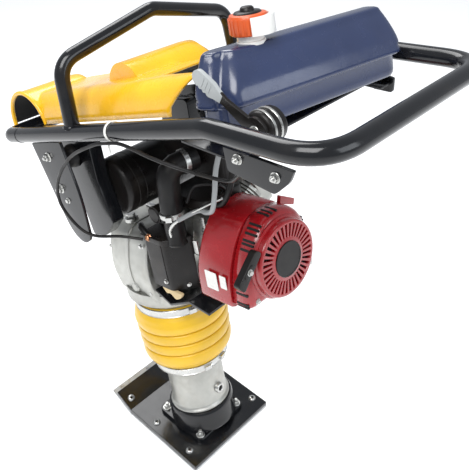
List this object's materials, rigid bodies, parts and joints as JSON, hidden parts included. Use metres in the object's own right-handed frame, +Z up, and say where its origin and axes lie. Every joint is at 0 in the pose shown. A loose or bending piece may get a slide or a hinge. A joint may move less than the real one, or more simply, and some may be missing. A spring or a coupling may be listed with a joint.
{
  "type": "jumping jack rammer",
  "caption": "Upright tamping rammer: petrol engine and gearbox drive a sprung ram leg with a yellow bellows onto a flat shoe, with a loop handle, fuel tank and hood.",
  "frame": {"origin": "centre of the flat underside of the foot's sole, on the ground", "axes": "+X forward, the way the rammer travels; +Y its left; +Z up; the leg leans 11 degrees forward"},
  "size_m": [0.8221, 0.449, 1.1007],
  "materials": {
    "wear_steel": "worn bare steel with paint at the edges",
    "black_paint": "glossy black powder coat, chipped at edges",
    "cast_alloy": "satin cast aluminium",
    "steel": "machined steel",
    "spring_steel": "oiled dark spring steel",
    "zinc_steel": "bright zinc-plated steel",
    "yellow_rubber": "satin yellow elastomer",
    "red_paint": "glossy red paint",
    "porcelain": "glazed white",
    "black_plastic": "lightly textured black plastic",
    "black_rubber": "satin black rubber",
    "filter_paper": "pleated filter paper",
    "yellow_plastic": "glossy yellow moulding",
    "grey_rubber": "grey fuel hose",
    "blue_plastic": "glossy dark blue blow moulding",
    "grey_plastic": "grey nylon",
    "orange_plastic": "glossy orange moulding"
  },
  "bodies": {
    "foot": {"sole_plate": "wear_steel", "sole_block": "black_paint", "leg_socket": "black_paint", "lower_cylinder": "cast_alloy", "spring_tube_cap": "steel", "lower_spring": "spring_steel", "upper_spring": "spring_steel", "drain_plug": "zinc_steel", "lower_band": "zinc_steel", "bellows_boot": "yellow_rubber"},
    "machine": {"guide_tube": "cast_alloy", "upper_band": "zinc_steel", "crankcase_body": "cast_alloy", "crankcase_cover": "cast_alloy", "crank_bearing": "steel", "clutch_housing": "cast_alloy", "engine_block": "cast_alloy", "cooling_shroud": "red_paint", "recoil_housing": "red_paint", "cylinder_barrel": "cast_alloy", "cylinder_head": "cast_alloy", "valve_cover": "black_paint", "spark_plug": "porcelain", "muffler": "steel", "carburettor_cover": "black_plastic", "intake_elbow": "black_rubber", "engine_cradle": "black_paint", "air_drum": "black_plastic", "air_drum_lid": "black_plastic", "air_filter": "filter_paper", "air_box": "black_plastic", "machine_bracket_left": "black_paint", "machine_bracket_right": "black_paint", "shock_mount_left": "black_rubber", "shock_mount_right": "black_rubber", "handle_tube": "black_paint", "front_bar": "black_paint", "lifting_hoop": "black_paint", "front_bracket_left": "black_paint", "front_bracket_right": "black_paint", "tank_carrier": "black_paint", "throttle_hub": "black_plastic", "hood": "yellow_plastic", "throttle_cable": "black_rubber", "fuel_hose": "grey_rubber", "fuel_tank": "blue_plastic"},
    "ram": {"ram_piston": "steel", "wrist_pin": "steel"},
    "rod": {"connecting_rod": "steel"},
    "crank": {"crank_gear": "steel", "crank_shaft": "steel"},
    "pinion": {"pinion_shaft": "steel", "clutch_drum": "steel"},
    "engine_rotor": {"engine_crankshaft": "steel", "flywheel_fan": "cast_alloy"},
    "throttle": {"throttle_lever": "grey_plastic"},
    "governor": {"governor_arm": "zinc_steel"},
    "choke": {"choke_lever": "zinc_steel"},
    "starter_grip": {"recoil_grip": "black_plastic"},
    "filler_cap": {"fuel_cap": "orange_plastic"}
  },
  "joints": [
    {"name": "ram_stroke", "type": "slide", "parent": "foot", "child": "machine", "axis": [0.1908, 0, 0.9816], "range_m": [0, 0.05], "deforming": ["bellows_boot", "lower_spring", "upper_spring"]},
    {"name": "ram_piston_stroke", "type": "slide", "parent": "machine", "child": "ram", "axis": [0.1908, 0, 0.9816], "range_m": [0, 0.048], "deforming": ["lower_spring", "upper_spring"]},
    {"name": "rod_swing", "type": "hinge", "parent": "ram", "child": "rod", "pos_m": [0.0445, 0, 0.3573], "axis": [0.9816, 0, -0.1908], "range_deg": [-12.5, 12.5]},
    {"name": "crank_spin", "type": "hinge", "parent": "machine", "child": "crank", "pos_m": [0.0702, 0, 0.4898], "axis": [0.9816, 0, -0.1908], "continuous": true},
    {"name": "pinion_spin", "type": "hinge", "parent": "machine", "child": "pinion", "pos_m": [0.0855, 0, 0.5684], "axis": [0.9816, 0, -0.1908], "continuous": true},
    {"name": "engine_spin", "type": "hinge", "parent": "machine", "child": "engine_rotor", "pos_m": [-0.1599, 0, 0.6161], "axis": [0.9816, 0, -0.1908], "continuous": true},
    {"name": "throttle_turn", "type": "hinge", "parent": "machine", "child": "throttle", "pos_m": [-0.3398, 0.167, 0.9852], "axis": [0, -1, 0], "range_deg": [0, 70]},
    {"name": "governor_turn", "type": "hinge", "parent": "machine", "child": "governor", "pos_m": [-0.1046, 0.0482, 0.6389], "axis": [0, 1, 0], "range_deg": [0, 35]},
    {"name": "choke_turn", "type": "hinge", "parent": "machine", "child": "choke", "pos_m": [-0.0946, 0.064, 0.6166], "axis": [0, 1, 0], "range_deg": [0, 55]},
    {"name": "recoil_pull", "type": "slide", "parent": "machine", "child": "starter_grip", "axis": [0.1145, 0.8, 0.589], "range_m": [0, 0.55], "stiffness_N_per_m": 12, "springref_m": -0.6},
    {"name": "cap_turn", "type": "hinge", "parent": "machine", "child": "filler_cap", "pos_m": [-0.222, 0.052, 1.0723], "axis": [0.1908, 0, 0.9816], "range_deg": [0, 90]}
  ],
  "couplings": [
    {"joint": "pinion_spin", "follows": "crank_spin", "ratio": -4},
    {"joint": "governor_turn", "follows": "throttle_turn", "ratio": 0.5}
  ]
}
